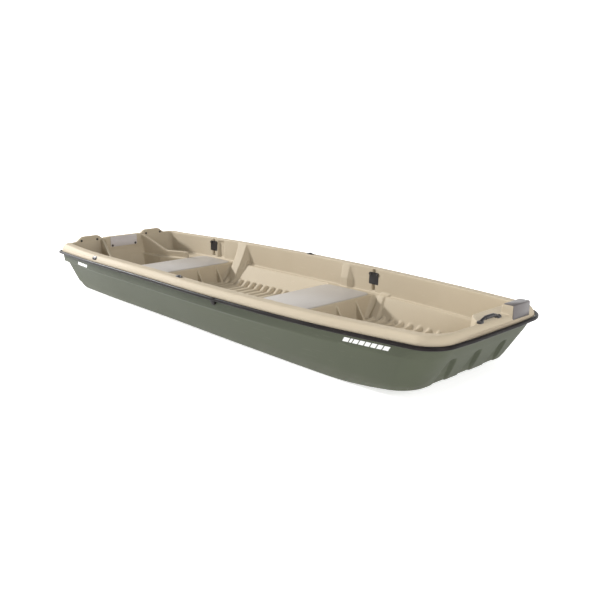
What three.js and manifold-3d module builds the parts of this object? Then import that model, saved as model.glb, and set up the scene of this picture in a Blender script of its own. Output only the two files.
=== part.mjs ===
import * as THREE from 'three';
import { mergeVertices } from 'three/addons/utils/BufferGeometryUtils.js';
import Module from 'manifold-3d';

// Flat-bottomed jon boat in two moulded skins: a hull shell and a deck liner
// that meet under a rub rail. Millimetres, +X to the bow, +Y to port, +Z up,
// origin on the ground plane under the middle of the boat.

const LENGTH = 3660;
const WALL = 6;
const GAP = 0.3;

// Station, outer half beam of the rub rail, half width at the chine.
const STATIONS = [
  [-1830, 549, 412], [-1700, 563, 416], [-1500, 584.5, 423], [-1200, 610, 432],
  [-900, 622.5, 434], [-600, 629, 436], [-300, 635, 441], [0, 639, 449],
  [300, 635, 455], [600, 623, 459], [900, 605, 462], [1200, 576, 461],
  [1400, 548.5, 457], [1600, 518, 455], [1700, 503, 452], [1830, 484, 448],
];
const RAIL_Z = [
  [-1830, 289], [-1500, 297], [-900, 307.5], [-300, 311.5], [300, 309.5],
  [900, 306], [1830, 306],
];
const GUNWALE_Z = [
  [-1830, 354], [-1600, 351], [-1500, 351], [-900, 357.5], [-300, 361.5],
  [300, 359.5], [900, 356], [1830, 356],
];
const ROCKER = [
  [1000, 0], [1150, 1], [1250, 5], [1320, 11], [1390, 18], [1455, 27], [1530, 37], [1626, 44],
];
const RAIL_DEPTH = 20;
const RAIL_HEIGHT = 21;
const RAIL_JOINT_X = 338;
const GUNWALE_SET_IN = 42;
const GUNWALE_WIDTH = 58;
const INNER_EDGE = GUNWALE_SET_IN + GUNWALE_WIDTH;

const BENCH_Z = 197;
const REAR_BENCH = [-1292, -910];
const MIDDLE_BENCH = [171, 582];
const BENCH_COVER = 4.5;
const LEDGE_Z = 228;
const FLOOR_Z = 56;
const RIB_PITCH = 73;
const RIB_HEIGHT = 10;

const TRANSOM_INNER = -1778;
const TRANSOM_OUTER = -1808;
const MOTOR_PAD_INNER = -1757;
const WELL_HALF = 168;

const wasm = await Module();
wasm.setup();

const looks = {
  hull: { color: 0x6d715f, roughness: 0.62, metalness: 0 },
  liner: { color: 0xc8b99c, roughness: 0.55, metalness: 0 },
  rail: { color: 0x2a2628, roughness: 0.6, metalness: 0 },
  bench: { color: 0xb8b2aa, roughness: 0.4, metalness: 0 },
  plate: { color: 0x8f8b8d, roughness: 0.5, metalness: 0 },
  trim: { color: 0x1f1d1f, roughness: 0.5, metalness: 0 },
};

const boat = new THREE.Group();

function table(rows, column, x) {
  if (x <= rows[0][0]) return rows[0][column];
  for (let i = 1; i < rows.length; i += 1) {
    const [a, b] = [rows[i - 1], rows[i]];
    if (x <= b[0]) {
      return a[column] + (b[column] - a[column]) * (x - a[0]) / (b[0] - a[0]);
    }
  }
  return rows[rows.length - 1][column];
}

const halfBeam = (x) => table(STATIONS, 1, x);
const chine = (x) => table(STATIONS, 2, x);
const railZ = (x) => table(RAIL_Z, 1, x);
const gunwaleZ = (x) => table(GUNWALE_Z, 1, x);

// Fractions along an outline, closer together where its corners turn.
const STEPS = [
  0, 0.003, 0.009, 0.02, 0.05, 0.12, 0.2, 0.29, 0.38, 0.47, 0.56, 0.65,
  0.74, 0.82, 0.88, 0.92, 0.945, 0.963, 0.977, 0.988, 0.995, 1,
];

// One level outline, kept as matching starboard and port points.
function level({ aft, bow, half, height, aftRadius = 20, bowRadius = 100 }) {
  const corner = (radius, reach) => (
    reach > 0 ? radius - Math.sqrt(Math.max(radius ** 2 - reach ** 2, 0)) : 0
  );
  return STEPS.map((step) => {
    const x = aft + (bow - aft) * step;
    const cut = corner(bowRadius, bowRadius - (bow - x)) + corner(aftRadius, aftRadius - (x - aft));
    return [x, half(x) - cut, height(x)];
  });
}

function manifold(points, faces) {
  return new wasm.Manifold(new wasm.Mesh({
    numProp: 3,
    vertProperties: new Float32Array(points.flat()),
    triVerts: new Uint32Array(faces),
  }));
}

// Solid between stacked level outlines, the lowest first.
function stack(levels) {
  const count = STEPS.length;
  const points = [];
  levels.forEach((rows) => {
    rows.forEach(([x, y, z]) => points.push([x, -y, z]));
    rows.forEach((row) => points.push(row));
  });
  const faces = [];
  const quad = (a, b, c, d) => faces.push(a, b, c, a, c, d);
  for (let k = 0; k + 1 < levels.length; k += 1) {
    const low = k * 2 * count;
    const high = low + 2 * count;
    for (let i = 0; i + 1 < count; i += 1) {
      const [p, q] = [low + count + i, high + count + i];
      quad(low + i, low + i + 1, high + i + 1, high + i);
      quad(p + 1, p, q, q + 1);
    }
    quad(low + count, low, high, high + count);
    quad(low + count - 1, low + 2 * count - 1, high + 2 * count - 1, high + count - 1);
  }
  const top = (levels.length - 1) * 2 * count;
  for (let i = 0; i + 1 < count; i += 1) {
    quad(i, i + count, i + count + 1, i + 1);
    quad(top + i, top + i + 1, top + i + count + 1, top + i + count);
  }
  return manifold(points, faces);
}

// Solid through matching rings of points, with a flat cap at each end.
function loft(rings) {
  const size = rings[0].length;
  const faces = [];
  for (let k = 0; k + 1 < rings.length; k += 1) {
    for (let i = 0; i < size; i += 1) {
      const [a, b] = [k * size + i, k * size + (i + 1) % size];
      faces.push(a, b, b + size, a, b + size, a + size);
    }
  }
  const last = (rings.length - 1) * size;
  for (let i = 1; i + 1 < size; i += 1) {
    faces.push(0, i + 1, i, last, last + i, last + i + 1);
  }
  const body = manifold(rings.flat(), faces);
  if (body.volume() > 0) return body;
  const turned = [];
  for (let i = 0; i < faces.length; i += 3) turned.push(faces[i], faces[i + 2], faces[i + 1]);
  return manifold(rings.flat(), turned);
}

function solid(geometry) {
  const plain = geometry.clone();
  plain.deleteAttribute('normal');
  plain.deleteAttribute('uv');
  const merged = mergeVertices(plain, 1e-4);
  return new wasm.Manifold(new wasm.Mesh({
    numProp: 3,
    vertProperties: new Float32Array(merged.attributes.position.array),
    triVerts: new Uint32Array(merged.index.array),
  }));
}

function box(x0, x1, y0, y1, z0, z1) {
  const shape = new THREE.BoxGeometry(x1 - x0, y1 - y0, z1 - z0);
  return solid(shape.translate((x0 + x1) / 2, (y0 + y1) / 2, (z0 + z1) / 2));
}

// Profile in x and z, carried across the boat from y0 to y1.
function across(profile, y0, y1) {
  return loft([y0, y1].map((y) => profile.map(([x, z]) => [x, y, z])));
}

const union = (bodies) => bodies.reduce((all, one) => all.add(one));
const mirrored = (make) => union([make(1), make(-1)]);

function add(name, body, look) {
  const mesh = body.getMesh();
  const places = [];
  for (let i = 0; i < mesh.numVert; i += 1) {
    const first = i * mesh.numProp;
    places.push(...mesh.vertProperties.slice(first, first + 3));
  }
  const geometry = new THREE.BufferGeometry();
  geometry.setAttribute('position', new THREE.Float32BufferAttribute(places, 3));
  geometry.setIndex([...mesh.triVerts]);
  geometry.computeVertexNormals();
  const node = new THREE.Mesh(geometry, new THREE.MeshStandardMaterial(looks[look]));
  node.name = name;
  boat.add(node);
}

// Hull shell: flat bottom, flared sides with a cove under the rail, stepped
// transom, raked bow.
// Each level: height amidships, height at the bow, aft end, bow end,
// share of the way from chine to rail, corner radii.
const HULL_LEVELS = [
  { z: 0, bowZ: 44, aft: -1700, bow: 1628, out: 0, set: -12, radii: [40, 130] },
  { z: 20, bowZ: 72, aft: -1712, bow: 1650, out: 0.05, set: 0, radii: [42, 138] },
  { z: 47, bowZ: 96, aft: -1730, bow: 1668, out: 0.15, set: 0, radii: [42, 142] },
  { z: 57, bowZ: 105, aft: -1750, bow: 1675, out: 0.19, set: 0, radii: [42, 144] },
  { belowRail: 78, aft: -1772, bow: 1757, out: 0.88, set: -3, radii: [46, 152] },
  { belowRail: 66, aft: -1787, bow: 1769, out: 0.98, set: -1, radii: [50, 153] },
  { belowRail: 14, aft: -1797, bow: 1799, out: 1, set: -1, radii: [50, 152] },
  { belowRail: GAP, aft: -1809.5, bow: 1809.5, out: 1, set: 0, radii: [36, 150] },
];

function hullBody(inset) {
  return stack(HULL_LEVELS.map((row, k) => {
    const floor = Math.max(inset * (1 - k * 0.5), 0);
    const lift = k === HULL_LEVELS.length - 1 && inset > 0 ? 2 : 0;
    const slope = k < 2 ? 2.2 : 1.3;
    return level({
      aft: row.aft + inset * 1.1,
      bow: row.bow - inset * slope,
      half: (x) => {
        const top = halfBeam(x) - RAIL_DEPTH - 0.5;
        return chine(x) + (top - chine(x)) * row.out + row.set - inset;
      },
      height: (x) => {
        if (row.belowRail) return railZ(x) - row.belowRail + lift;
        return row.z + (row.bowZ - row.z) * table(ROCKER, 1, x) / 44 + floor;
      },
      aftRadius: row.radii[0],
      bowRadius: row.radii[1],
    });
  }));
}

// Shallow channels along the bottom that run out up the bow.
const CHANNEL_PATH = [
  [-1745, 0, 30], [-1400, 0, 30], [1150, 0, 30], [1390, 18, 34],
  [1530, 37, 44], [1628, 44, 53], [1672, 105, 48], [1715, 166, 36], [1738, 198, 16],
];
const CHANNEL_Y = [-207, 4, 232];
const CHANNEL_LEAN = -48;

function channel(y, depth, grow) {
  return loft(CHANNEL_PATH.map(([x, z, half], i) => {
    const last = CHANNEL_PATH.length - 1;
    const [before, after] = [CHANNEL_PATH[Math.max(i - 1, 0)], CHANNEL_PATH[Math.min(i + 1, last)]];
    const [dx, dz] = [after[0] - before[0], after[1] - before[1]];
    const size = Math.hypot(dx, dz);
    const [nx, nz] = [-dz / size, dx / size];
    const deep = (i === last ? depth * 0.3 : depth) + grow;
    const lean = CHANNEL_LEAN * Math.min(1, Math.max(0, (x - 1628) / 109));
    return [[-half - grow, -9], [half + grow, -9], [half * 0.6 + grow, deep], [-half * 0.6 - grow, deep]]
      .map(([side, into]) => [x + nx * into, y + lean + side, z + nz * into]);
  }));
}

const channels = (grow) => union(CHANNEL_Y.map((y) => channel(y, 9, grow)));
const hull = hullBody(0).subtract(channels(0)).subtract(hullBody(WALL).subtract(channels(WALL)));
const drainHole = solid(new THREE.CylinderGeometry(11, 11, 80, 20).rotateZ(Math.PI / 2)
  .translate(-1715, 0, 30));
add('hull_shell', hull.subtract(drainHole), 'hull');

// Deck liner: gunwale cap, walls, bench boxes, wells and floor in one skin.
function gunwale(inset) {
  const rows = [
    { set: RAIL_DEPTH + 0.5, end: 20.5, share: 0, up: inset ? -2 : GAP, radii: [36, 128] },
    { set: RAIL_DEPTH + 3, end: 22, share: 0.3, up: 0, radii: [36, 126] },
    { set: GUNWALE_SET_IN, end: 25, share: 0.88, up: -inset * 0.7, radii: [40, 114] },
    { set: GUNWALE_SET_IN + 8, end: 31, share: 1, up: -inset, radii: [42, 108] },
  ];
  return rows.map(({ set, end, share, up, radii }) => level({
    aft: -LENGTH / 2 + end + inset,
    bow: LENGTH / 2 - set - inset,
    half: (x) => halfBeam(x) - set - inset,
    height: (x) => railZ(x) + (gunwaleZ(x) - railZ(x)) * share + up,
    aftRadius: radii[0],
    bowRadius: radii[1],
  }));
}

const wall = (set, grow) => (x) => halfBeam(x) - set + grow;

function opening(grow) {
  const top = { aft: TRANSOM_INNER - grow, bow: 1768 + grow, half: wall(INNER_EDGE, grow) };
  const radii = { aftRadius: 50, bowRadius: 110 };
  return stack([
    level({
      ...radii, aft: TRANSOM_INNER + 33 - grow, bow: 1640 + grow,
      half: wall(INNER_EDGE + 9, grow), height: () => BENCH_Z - grow,
    }),
    level({ ...radii, ...top, height: (x) => gunwaleZ(x) + 1 }),
    level({ ...radii, ...top, height: () => 520 }),
  ]);
}

// Footwell: a flat floor, sides that slope in, and near-upright ends.
function footwell(aft, bow, grow, { bowRun = 14, aftRun = 14, bowRadius = 30 } = {}) {
  const ends = (run) => ({ aft: aft + aftRun * run - grow, bow: bow - bowRun * run + grow });
  const radii = { aftRadius: 30, bowRadius };
  return stack([
    level({ ...ends(1), ...radii, half: (x) => chine(x) - 54 + grow, height: () => FLOOR_Z - grow }),
    level({ ...ends(0.9), ...radii, half: (x) => chine(x) - 42 + grow, height: () => FLOOR_Z + 10 - grow * 0.6 }),
    level({ ...ends(0), ...radii, half: wall(INNER_EDGE + 26, grow), height: () => LEDGE_Z - 14 }),
    level({ ...ends(0), ...radii, half: wall(INNER_EDGE + 20, grow), height: () => LEDGE_Z }),
  ]);
}

function aftWell(grow) {
  const ring = (aft, z, reach) => {
    const sides = [[aft - reach, WELL_HALF], [-1520, WELL_HALF + 30], [REAR_BENCH[0] + reach, 300]];
    return [
      ...sides.map(([x, y]) => [x, -y - reach, z]),
      ...sides.reverse().map(([x, y]) => [x, y + reach, z]),
    ];
  };
  return loft([
    ring(-1704, FLOOR_Z + 24 - grow, grow - 14),
    ring(-1744, BENCH_Z + 2, grow),
    ring(-1757, BENCH_Z + 60, grow),
  ]);
}

// Raised bow deck to port, beside the carry handle.
function bowDeck(inset) {
  const outline = [
    [1690, -8], [1668, 30], [1668, 520], [1800, 520], [1800, -66], [1752, -66],
  ];
  const foot = outline.map(([x, y]) => [Math.max(x - 46, 1600) + inset, y + (y < 500 ? inset : 0), 150 - inset]);
  const head = outline.map(([x, y]) => [x + inset, y + (y < 500 ? inset : 0), 520]);
  return loft([foot, head]);
}

// Low walls between the aft well and the corner shelves, rising to the transom.
function wingWall(side) {
  const profile = [[-1790, 372], [-1500, 246], [-1285, 250], [-1285, 120], [-1790, 120]];
  return loft([0, 1].map((k) => profile.map(([x, z]) => {
    const spread = WELL_HALF + 4 + Math.max(x + 1757, 0) * 0.283;
    return [x, side * (spread + k * 22), z];
  })));
}

// Pillars that stand out of the walls ahead of each bench, with sloped tops.
function pillar(side, x0, x1, foot, out, crest = 258, top = 0) {
  const section = (x, reach) => {
    const edge = halfBeam(x) - INNER_EDGE;
    const high = top || gunwaleZ(x) - 6;
    const low = foot > 100 ? edge - reach : chine(x) - 54 - reach * 0.5;
    return [
      [edge + 40, foot - 4], [low, foot - 4], [edge - reach, crest],
      [edge - 2, high], [edge + 40, high],
    ].map(([y, z]) => [x, side * y, z]);
  };
  return loft([section(x0 - 10, 4), section(x0 + 6, out), section(x1 - 14, out), section(x1 + 20, 4)]);
}

const GUSSET_Y = [-322, -145, 145, 322];
function gusset(front, y) {
  return across([[front - 20, 188], [front - 2, 188], [front + 88, FLOOR_Z - 2], [front - 20, FLOOR_Z - 2]], y - 7, y + 7);
}

// Each rib crosses the floor and ends in a finger that climbs the foot of the slope.
function ribs(from, to) {
  const bodies = [];
  for (let x = from; x + 34 < to; x += RIB_PITCH) {
    const reach = chine(x) - 40;
    bodies.push(loft([[FLOOR_Z - 3, 0], [FLOOR_Z + RIB_HEIGHT, 8]].map(([z, taper]) => [
      [x + taper, -reach, z], [x + 34 - taper, -reach, z], [x + 34 - taper, reach, z], [x + taper, reach, z],
    ])));
    bodies.push(mirrored((side) => finger(side, x, x > MIDDLE_BENCH[1] ? 88 : 98)));
  }
  return union(bodies);
}

function finger(side, x, top) {
  const foot = chine(x);
  return loft([[FLOOR_Z - 4, 0, foot - 84], [top, 9, foot - 52]].map(([z, taper, inner]) => [
    [x + taper, inner, z], [x + 34 - taper, inner, z], [x + 34 - taper, foot - 6, z], [x + taper, foot - 6, z],
  ].map(([u, y, w]) => [u, side * y, w])));
}

// Upright rod grooves behind the straps, and a wide recess on the rear bench.
const ROD_X = { rear: -1184, middle: 557 };
function groove(side, x, half, depth, z0, z1) {
  const edge = halfBeam(x) - INNER_EDGE;
  const [low, high] = [edge - 30, edge - 4 + depth];
  return box(x - half, x + half, Math.min(side * low, side * high), Math.max(side * low, side * high), z0, z1);
}
const grooves = (grow) => mirrored((side) => union([
  groove(side, ROD_X.rear, 13 + grow, 14 + grow, 212 - grow, 340 + grow * 0.5),
  groove(side, ROD_X.middle, 13 + grow, 14 + grow, 212 - grow, 345 + grow * 0.5),
  groove(side, -1092, 39 + grow, 8 + grow, 205 - grow, 336 + grow * 0.5),
]));

function hollows(grow) {
  const wells = union([
    opening(grow),
    footwell(REAR_BENCH[1], MIDDLE_BENCH[0], grow),
    footwell(MIDDLE_BENCH[1], 1596, grow, { bowRun: 190, bowRadius: 110 }),
    aftWell(grow),
    grooves(grow),
  ]);
  return wells.subtract(bowDeck(grow));
}

const bosses = union([
  mirrored(wingWall),
  mirrored((side) => pillar(side, -866, -759, FLOOR_Z, 46)),
  mirrored((side) => pillar(side, 632, 700, FLOOR_Z, 44, 219, 238)),
  mirrored((side) => pillar(side, 263, 347, BENCH_Z, 30)),
  ...GUSSET_Y.flatMap((y) => [gusset(REAR_BENCH[1], y), gusset(MIDDLE_BENCH[1], y)]),
  ribs(-868, 150),
  ribs(640, 1400),
]);

const outer = gunwale(0);
const envelope = stack([
  level({
    aft: -1688, bow: 1590, half: (x) => chine(x) - 14, height: () => 16, aftRadius: 34, bowRadius: 140,
  }),
  level({
    aft: -1735, bow: 1655, half: (x) => halfBeam(x) - 84, height: () => 140, aftRadius: 30, bowRadius: 140,
  }),
  ...outer,
]);
const cap = stack(outer).subtract(stack(gunwale(WALL)));
const skin = envelope.intersect(hollows(WALL));
const interior = hollows(0).subtract(bosses);

// Transom top: a centre pad for a motor, and a hump each side for a handle.
const transomTop = (y) => (
  Math.abs(y) < 165 ? 368 : table([[165, 358], [212, 389], [356, 389], [398, 356], [500, 345]], 1, Math.abs(y))
);
function transomRidge() {
  const ys = [-470, -398, -356, -212, -166, -164, 164, 166, 212, 356, 398, 470];
  return loft(ys.map((y) => {
    const inner = Math.abs(y) < 165 ? MOTOR_PAD_INNER : TRANSOM_INNER + 1;
    const outside = TRANSOM_OUTER + 2;
    return [[outside, 325], [inner, 325], [inner, transomTop(y)], [outside, transomTop(y)]]
      .map(([x, z]) => [x, y, z]);
  }));
}
const motorPad = box(TRANSOM_INNER - 2, MOTOR_PAD_INNER, -164, 164, 240, 350);
const bowPad = loft([330, 404].map((z) => [[1733, 155], [1797, 155], [1797, 317], [1733, 330]]
  .map(([x, y]) => [x + (z > 350 && x < 1740 ? 8 : 0), y, z])));

const liner = union([cap, skin, transomRidge(), motorPad.intersect(envelope), bowPad])
  .subtract(interior.subtract(transomRidge()).subtract(motorPad).subtract(bowPad));
add('deck_liner', liner, 'liner');

// Rub rail in two runs with a cover over each joint.
function railRing(inset, lift) {
  return stack([-1, 1].map((way) => level({
    aft: -LENGTH / 2 + inset,
    bow: LENGTH / 2 - inset,
    half: (x) => halfBeam(x) - inset,
    height: (x) => railZ(x) + way * (RAIL_HEIGHT / 2 + lift),
    aftRadius: Math.max(42 - inset, 20),
    bowRadius: 146 - inset,
  })));
}
const rail = railRing(0, 0).subtract(railRing(RAIL_DEPTH, 5));
add('rub_rail_bow', rail.intersect(box(RAIL_JOINT_X + 1, 2000, -900, 900, 0, 600)), 'rail');
add('rub_rail_stern', rail.intersect(box(-2000, RAIL_JOINT_X - 1, -900, 900, 0, 600)), 'rail');

function railCover(side) {
  const beam = halfBeam(RAIL_JOINT_X);
  const z = railZ(RAIL_JOINT_X) - RAIL_HEIGHT / 2 - GAP;
  const ring = (out) => [[-21, 0], [21, 0], [7, -30], [-7, -30]]
    .map(([x, up]) => [RAIL_JOINT_X + x, side * (beam + out - 8 + up * 0.18), z + up]);
  return loft([ring(0), ring(7)]);
}
add('rail_joint_port', railCover(1), 'trim');
add('rail_joint_starboard', railCover(-1), 'trim');

// Bench covers, rounded in plan.
function benchTop(name, [aft, bow]) {
  const half = 474;
  const shape = new THREE.Shape();
  const [x0, x1, r] = [aft + 10, bow - 8, 45];
  shape.moveTo(x0 + r, -half);
  shape.lineTo(x1 - r, -half);
  shape.quadraticCurveTo(x1, -half, x1, -half + r);
  shape.lineTo(x1, half - r);
  shape.quadraticCurveTo(x1, half, x1 - r, half);
  shape.lineTo(x0 + r, half);
  shape.quadraticCurveTo(x0, half, x0, half - r);
  shape.lineTo(x0, -half + r);
  shape.quadraticCurveTo(x0, -half, x0 + r, -half);
  const cover = new THREE.ExtrudeGeometry(shape, { depth: BENCH_COVER, bevelEnabled: false, curveSegments: 4 });
  return [name, solid(cover.translate(0, 0, BENCH_Z + GAP))];
}
const knee = mirrored((side) => pillar(side, 255, 355, BENCH_Z, 38));
const [rearName, rearCover] = benchTop('bench_top_rear', REAR_BENCH);
const [middleName, middleCover] = benchTop('bench_top_middle', MIDDLE_BENCH);
add(rearName, rearCover, 'bench');
add(middleName, middleCover.subtract(knee), 'bench');

// Straps over the rod grooves, laid on the wall's facets.
const STRAP = { width: 85, height: 80, thick: 4, z: 290 };
const facets = STEPS.map((step) => TRANSOM_INNER + (1768 - TRANSOM_INNER) * step);
const facetBeam = (x) => table(facets.map((at) => [at, halfBeam(at)]), 1, x);
function strap(side, x) {
  const section = (at) => {
    const lean = 9 / (gunwaleZ(at) - BENCH_Z);
    const face = (z) => facetBeam(at) - INNER_EDGE - 9 + (z - BENCH_Z) * lean - 1.5;
    const [z0, z1] = [STRAP.z - STRAP.height / 2, STRAP.z + STRAP.height / 2];
    return [[face(z0), z0], [face(z1), z1], [face(z1) - STRAP.thick, z1], [face(z0) - STRAP.thick, z0]]
      .map(([y, z]) => [at, side * y, z]);
  };
  return loft([section(x - STRAP.width / 2), section(x + STRAP.width / 2)]);
}
Object.entries(ROD_X).forEach(([place, x]) => {
  add(`rod_strap_${place}_port`, strap(1, x), 'trim');
  add(`rod_strap_${place}_starboard`, strap(-1, x), 'trim');
});

// Wear plates for a motor's clamps, on both faces of the transom pad.
const plateFront = MOTOR_PAD_INNER + GAP;
add('transom_plate_inner', box(plateFront, plateFront + 3, -124, 124, 283, 366), 'plate');
add('transom_plate_outer', box(TRANSOM_OUTER - GAP - 3, TRANSOM_OUTER - GAP, -124, 124, 332, 366), 'plate');
const bowPlate = box(1797 + GAP, 1801, 158, 314, 337, 408).add(box(1745, 1801, 158, 314, 404 + GAP, 408));
add('bow_mount_plate', bowPlate, 'plate');

// Oarlock sockets let into the gunwale tops.
const OARLOCK_X = -90;
function oarlock(side) {
  const y = halfBeam(OARLOCK_X) - GUNWALE_SET_IN - 31;
  const z = gunwaleZ(OARLOCK_X);
  const profile = [[9, 0], [26, 0], [26, 4], [16, 9], [9, 9], [9, 0]].map(([r, h]) => new THREE.Vector2(r, h));
  const turned = new THREE.LatheGeometry(profile, 24).rotateX(Math.PI / 2);
  return solid(turned.translate(OARLOCK_X, side * y, z + GAP));
}
add('oarlock_socket_port', oarlock(1), 'trim');
add('oarlock_socket_starboard', oarlock(-1), 'trim');

// Carry handles: an arched grip between two end blocks.
function handle(name, centre, run, up, half, rise) {
  const at = (along, high) => new THREE.Vector3(...centre)
    .addScaledVector(run, along).addScaledVector(up, high);
  const curve = new THREE.CatmullRomCurve3([
    at(-half + 4, 8), at(-half * 0.72, rise * 0.8), at(0, rise), at(half * 0.72, rise * 0.8), at(half - 4, 8),
  ]);
  const section = new THREE.Shape().absarc(0, 0, 6.5, 0, Math.PI * 2);
  const tube = new THREE.ExtrudeGeometry(section, { steps: 16, extrudePath: curve, curveSegments: 5 });
  const side = new THREE.Vector3().crossVectors(up, run);
  const frame = new THREE.Matrix4().makeBasis(run, side, up);
  const block = (along) => {
    const shape = new THREE.BoxGeometry(34, 26, 14).applyMatrix4(frame);
    return solid(shape.translate(...at(along, 7 + GAP).toArray()));
  };
  const ends = [block(-half), block(half)];
  add(`${name}_grip`, union([solid(tube), ...ends]), 'trim');
}
const alongY = new THREE.Vector3(0, 1, 0);
handle('bow_handle', [1764, -4, gunwaleZ(1764)], alongY, new THREE.Vector3(0, 0, 1), 77, 25);
handle('stern_handle_port', [TRANSOM_OUTER - 1, 296, 343], alongY, new THREE.Vector3(-1, 0, 0), 62, 14);
handle('stern_handle_starboard', [TRANSOM_OUTER - 1, -296, 343], alongY, new THREE.Vector3(-1, 0, 0), 62, 14);

// Drain plug through the transom, low on the centre line.
const plugProfile = [[0, 0], [10.4, 0], [10.4, 16], [16, 16], [16, 20], [9, 24], [0, 24]]
  .map(([r, h]) => new THREE.Vector2(r, h));
const plug = new THREE.LatheGeometry(plugProfile, 20).rotateZ(Math.PI / 2).translate(-1715, 0, 30);
add('drain_plug', solid(plug), 'trim');

// Blank oval badges on the gunwale's leaning outer face.
const BADGE = { x: -1145, up: 32, lean: 0.595, radius: 28, flat: 0.46, off: 3.6 };
function badge(side) {
  const y = facetBeam(BADGE.x) - 34 + Math.cos(BADGE.lean) * BADGE.off;
  const z = railZ(BADGE.x) + BADGE.up + Math.sin(BADGE.lean) * BADGE.off;
  const disc = new THREE.CylinderGeometry(BADGE.radius, BADGE.radius, 2, 24);
  return solid(disc.scale(1, 1, BADGE.flat).rotateX(side * BADGE.lean).translate(BADGE.x, side * y, z));
}
add('side_badge_port', badge(1), 'trim');
add('side_badge_starboard', badge(-1), 'trim');

export default boat;
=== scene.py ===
import math
import bmesh
import bpy
import numpy as np
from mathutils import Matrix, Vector


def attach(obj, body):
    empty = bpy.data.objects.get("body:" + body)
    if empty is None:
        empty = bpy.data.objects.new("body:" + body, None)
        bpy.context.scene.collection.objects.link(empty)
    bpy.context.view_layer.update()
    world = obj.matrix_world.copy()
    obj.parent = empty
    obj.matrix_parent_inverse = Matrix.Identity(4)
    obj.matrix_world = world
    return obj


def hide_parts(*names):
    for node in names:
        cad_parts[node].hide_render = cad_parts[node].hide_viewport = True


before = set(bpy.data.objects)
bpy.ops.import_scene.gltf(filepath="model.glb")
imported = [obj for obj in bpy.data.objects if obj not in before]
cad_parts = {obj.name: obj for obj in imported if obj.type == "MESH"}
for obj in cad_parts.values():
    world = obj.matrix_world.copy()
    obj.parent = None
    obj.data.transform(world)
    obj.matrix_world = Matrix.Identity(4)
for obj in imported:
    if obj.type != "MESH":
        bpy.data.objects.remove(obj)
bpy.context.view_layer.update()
print("frame loaded:", len(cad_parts), "nodes")

# shared lines of the boat, in metres: +X bow, +Y port, +Z up
boat = dict(length=3.66, railDepth=0.020, railHeight=0.021, railJoint=0.338,
            sideSetIn=0.0205, gunwaleSetIn=0.042, innerEdge=0.100,
            benchZ=0.197, ledgeZ=0.228, floorZ=0.056, ribPitch=0.073,
            rearBench=(-1.292, -0.910), middleBench=(0.171, 0.582),
            transomInner=-1.778, transomOuter=-1.806, motorPadInner=-1.757,
            wellHalf=0.168)
# station, half beam over the rub rail, half width at the chine
stations = [(-1.83, .549, .412), (-1.7, .563, .416), (-1.5, .5845, .423), (-1.2, .610, .432),
            (-.9, .6225, .434), (-.6, .629, .436), (-.3, .635, .441), (0, .639, .449),
            (.3, .635, .455), (.6, .623, .459), (.9, .605, .462), (1.2, .576, .461),
            (1.4, .5485, .457), (1.6, .518, .455), (1.7, .503, .452), (1.83, .484, .448)]
gunwaleHeights = [(-1.83, .354), (-1.6, .351), (-1.5, .351), (-.9, .3575), (-.3, .3615),
                  (.3, .3595), (.9, .356), (1.83, .356)]
# how far the bottom has risen by each station
rockerRise = [(.9, 0), (1.08, 0), (1.15, .001), (1.25, .005), (1.32, .011), (1.39, .018), (1.455, .027),
              (1.53, .037), (1.626, .044), (1.83, .044)]
railHeights = [(-1.83, .289), (-1.5, .297), (-.9, .3075), (-.3, .3115), (.3, .3095),
               (.9, .306), (1.83, .306)]


def smoothRows(rows, column):
    xs = np.array([r[0] for r in rows], float)
    ys = np.array([r[column] for r in rows], float)
    slopes = np.gradient(ys, xs)

    def value(x):
        x = np.clip(x, xs[0], xs[-1])
        k = np.clip(np.searchsorted(xs, x) - 1, 0, len(xs) - 2)
        h = xs[k + 1] - xs[k]
        t = (x - xs[k]) / h
        return ((2 * t**3 - 3 * t**2 + 1) * ys[k] + (t**3 - 2 * t**2 + t) * h * slopes[k]
                + (3 * t**2 - 2 * t**3) * ys[k + 1] + (t**3 - t**2) * h * slopes[k + 1])
    return value


halfBeam = smoothRows(stations, 1)
chine = smoothRows(stations, 2)
railZ = smoothRows(railHeights, 1)
gunwaleZ = smoothRows(gunwaleHeights, 1)
rocker = smoothRows(rockerRise, 1)

# shares of the way from stern to bow, closer together round the corners
shares = np.concatenate([
    0.013 * (1 - np.cos(np.linspace(0, math.pi / 2, 9)[:-1])),
    np.linspace(0.013, 0.955, 74),
    1 - 0.045 * (1 - np.cos(np.linspace(math.pi / 2, 0, 17)[1:])),
])


def level(aft, bow, half, height, aftRadius=0.02, bowRadius=0.10):
    x = aft + (bow - aft) * shares

    def cut(radius, into):
        reach = np.clip(radius - into, 0, radius)
        return radius - np.sqrt(radius**2 - reach**2)
    y = half(x) - cut(bowRadius, bow - x) - cut(aftRadius, x - aft)
    return np.stack([x, y, height(x) + 0 * x], 1)


# the bow end is slightly crowned in plan
def crown(p):
    def ease(v, low, high):
        t = np.clip((v - low) / (high - low), 0, 1)
        return t * t * (3 - 2 * t)
    p = np.array(p, float)
    p[:, 0] -= 0.009 * ease(np.abs(p[:, 1]), 0.16, 0.38) * ease(p[:, 0], 1.55, 1.80)
    return p


# mesh helpers
def newObject(name, data):
    obj = bpy.data.objects.new(name, data)
    bpy.context.scene.collection.objects.link(obj)
    return obj


def meshObject(name, points, faces, smooth=True):
    mesh = bpy.data.meshes.new(name)
    mesh.from_pydata(np.asarray(points, float).tolist(), [], [list(map(int, f)) for f in faces])
    mesh.update()
    if smooth:
        mesh.shade_smooth()
    return newObject(name, mesh)


def flipIfInside(obj):
    mesh = obj.data
    co = np.array([v.co for v in mesh.vertices])
    mesh.calc_loop_triangles()
    tri = np.array([t.vertices for t in mesh.loop_triangles])
    a, b, c = co[tri[:, 0]], co[tri[:, 1]], co[tri[:, 2]]
    if np.einsum("ij,ij->i", a, np.cross(b, c)).sum() < 0:
        mesh.flip_normals()
    return obj


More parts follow.
